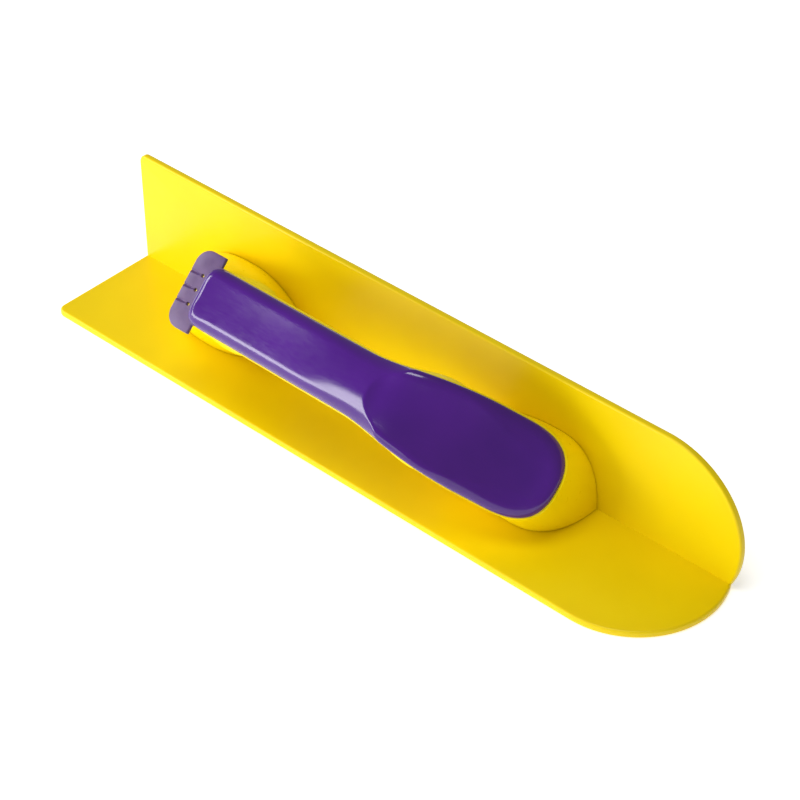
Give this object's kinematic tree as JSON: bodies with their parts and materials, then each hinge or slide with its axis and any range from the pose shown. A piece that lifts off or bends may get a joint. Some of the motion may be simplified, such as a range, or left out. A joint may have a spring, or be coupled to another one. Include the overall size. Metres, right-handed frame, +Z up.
{
  "type": "inside corner float",
  "caption": "Right-angled plastic float for smoothing inside corners, with a rounded nose and a hollow bridge handle under a scooped thumb-rest lid.",
  "frame": {"origin": "middle of the lower wing's underside: half way along the crease and half way across the wing", "axes": "+X along the crease towards the rounded nose, +Z up from the surface the lower wing lies on, +Y towards the upright wing"},
  "size_m": [0.3028, 0.066, 0.066],
  "materials": {
    "blade_yellow": "satin moulded",
    "handle_yellow": "satin moulded",
    "cover_purple": "polished moulded",
    "tab_lilac": "satin, slightly see-through",
    "screw_zinc": "zinc plated"
  },
  "bodies": {
    "root": {"corner_blade": "blade_yellow", "handle_body": "handle_yellow", "grip_cover": "cover_purple", "rear_tab": "tab_lilac", "rear_screw": "screw_zinc", "middle_screw": "screw_zinc", "front_screw": "screw_zinc"}
  },
  "joints": []
}
